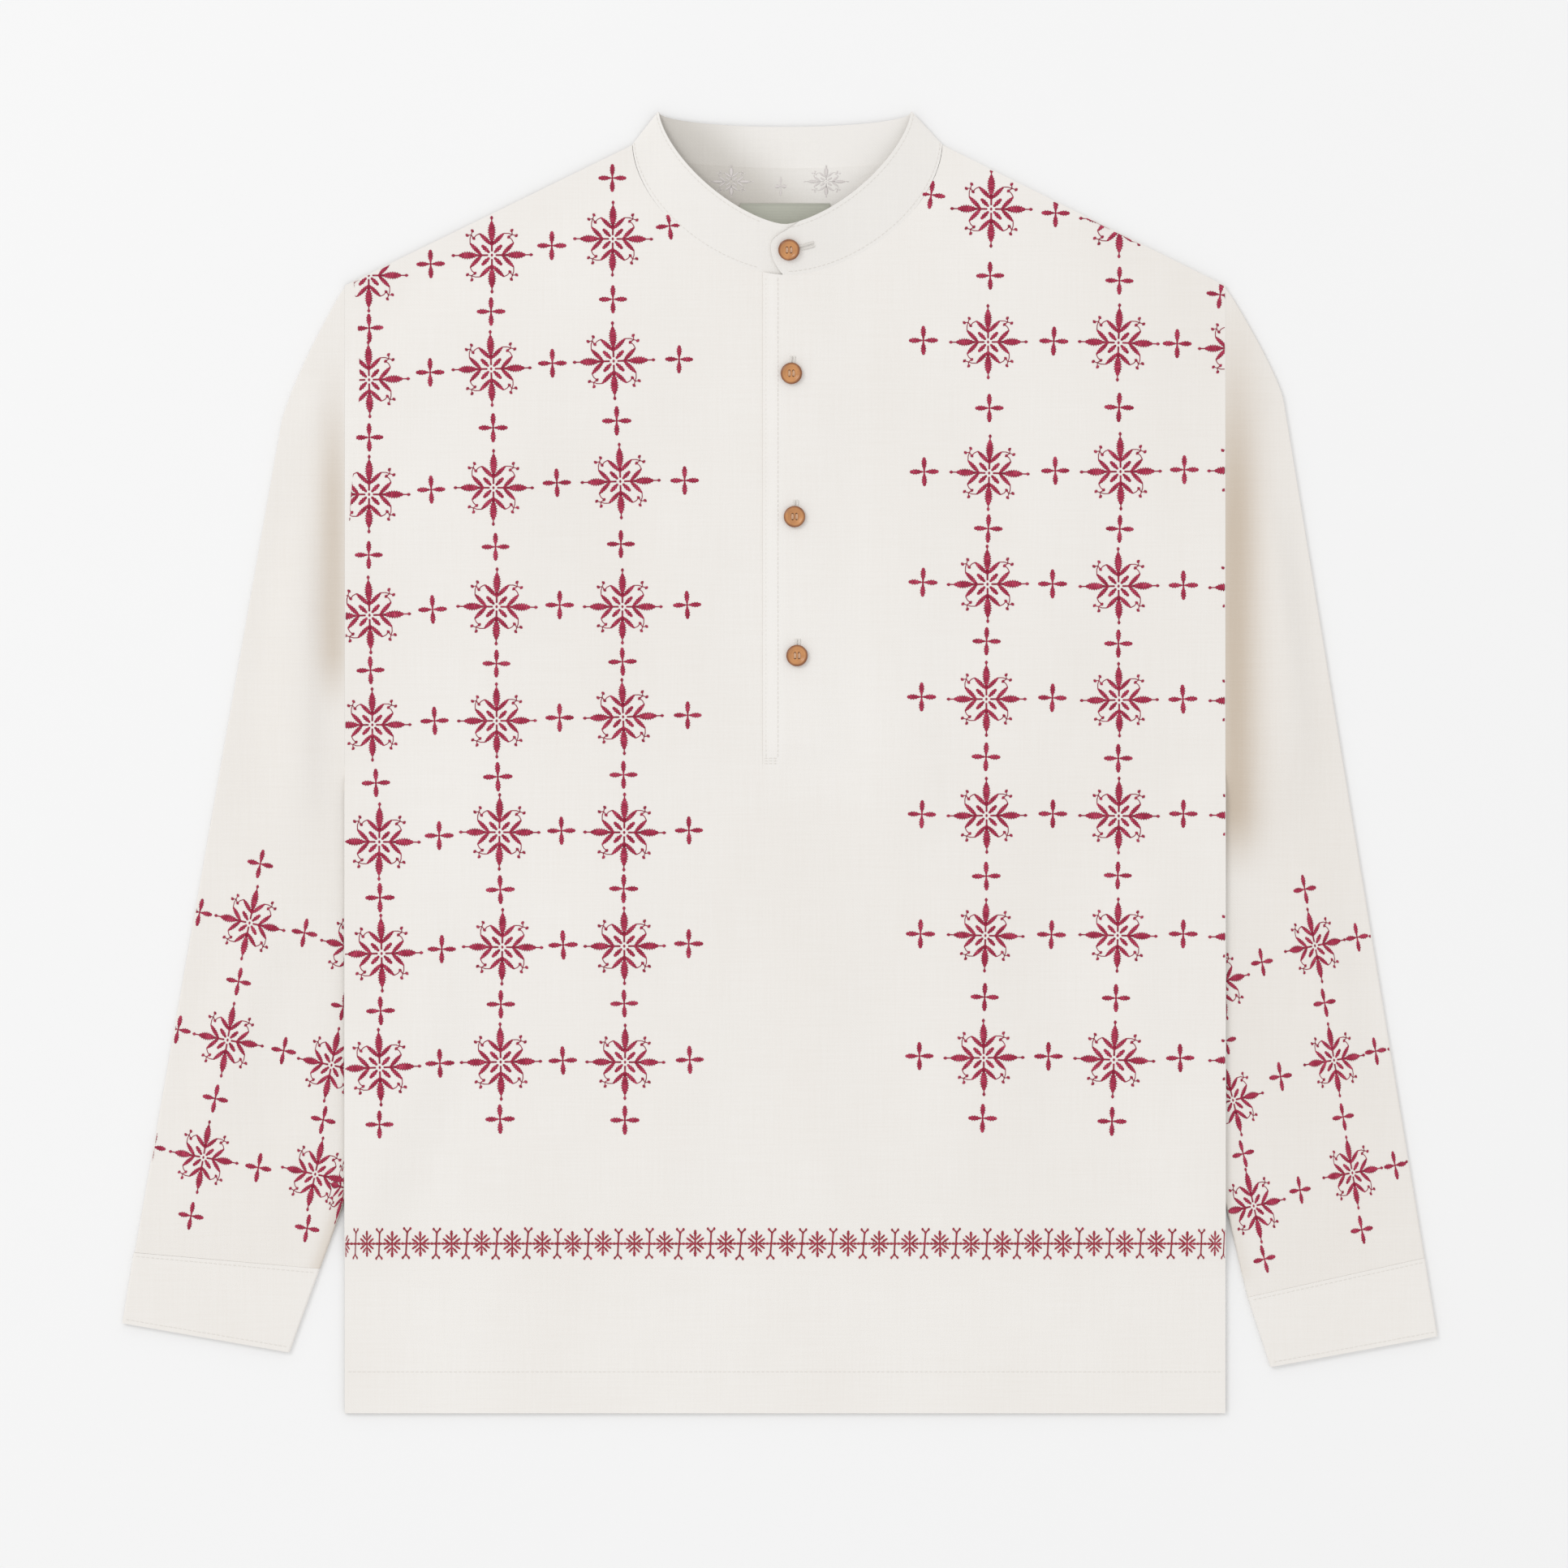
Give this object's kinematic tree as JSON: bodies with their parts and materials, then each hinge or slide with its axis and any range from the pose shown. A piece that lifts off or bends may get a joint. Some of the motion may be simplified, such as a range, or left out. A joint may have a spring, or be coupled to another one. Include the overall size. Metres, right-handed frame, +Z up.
{
  "type": "linen shirt",
  "caption": "Long-sleeved linen popover shirt with a band collar and half placket, laid flat with its front up.",
  "frame": {"origin": "bottom centre of the bounding box, on the surface that the shirt lies on", "axes": "+X to the viewer's right across the shirt, +Y from the hem to the collar, +Z up from the surface"},
  "size_m": [0.7938, 0.7854, 0.0156],
  "materials": {
    "linen": "matt",
    "label": "satin",
    "button": "satin"
  },
  "bodies": {
    "root": {"front": "linen", "back": "linen", "sleeve_left": "linen", "sleeve_right": "linen", "cuff_left": "linen", "cuff_right": "linen", "collar": "linen", "placket_under": "linen", "neck_label": "label", "button_1": "button", "button_2": "button", "button_3": "button", "button_4": "button"}
  },
  "joints": []
}
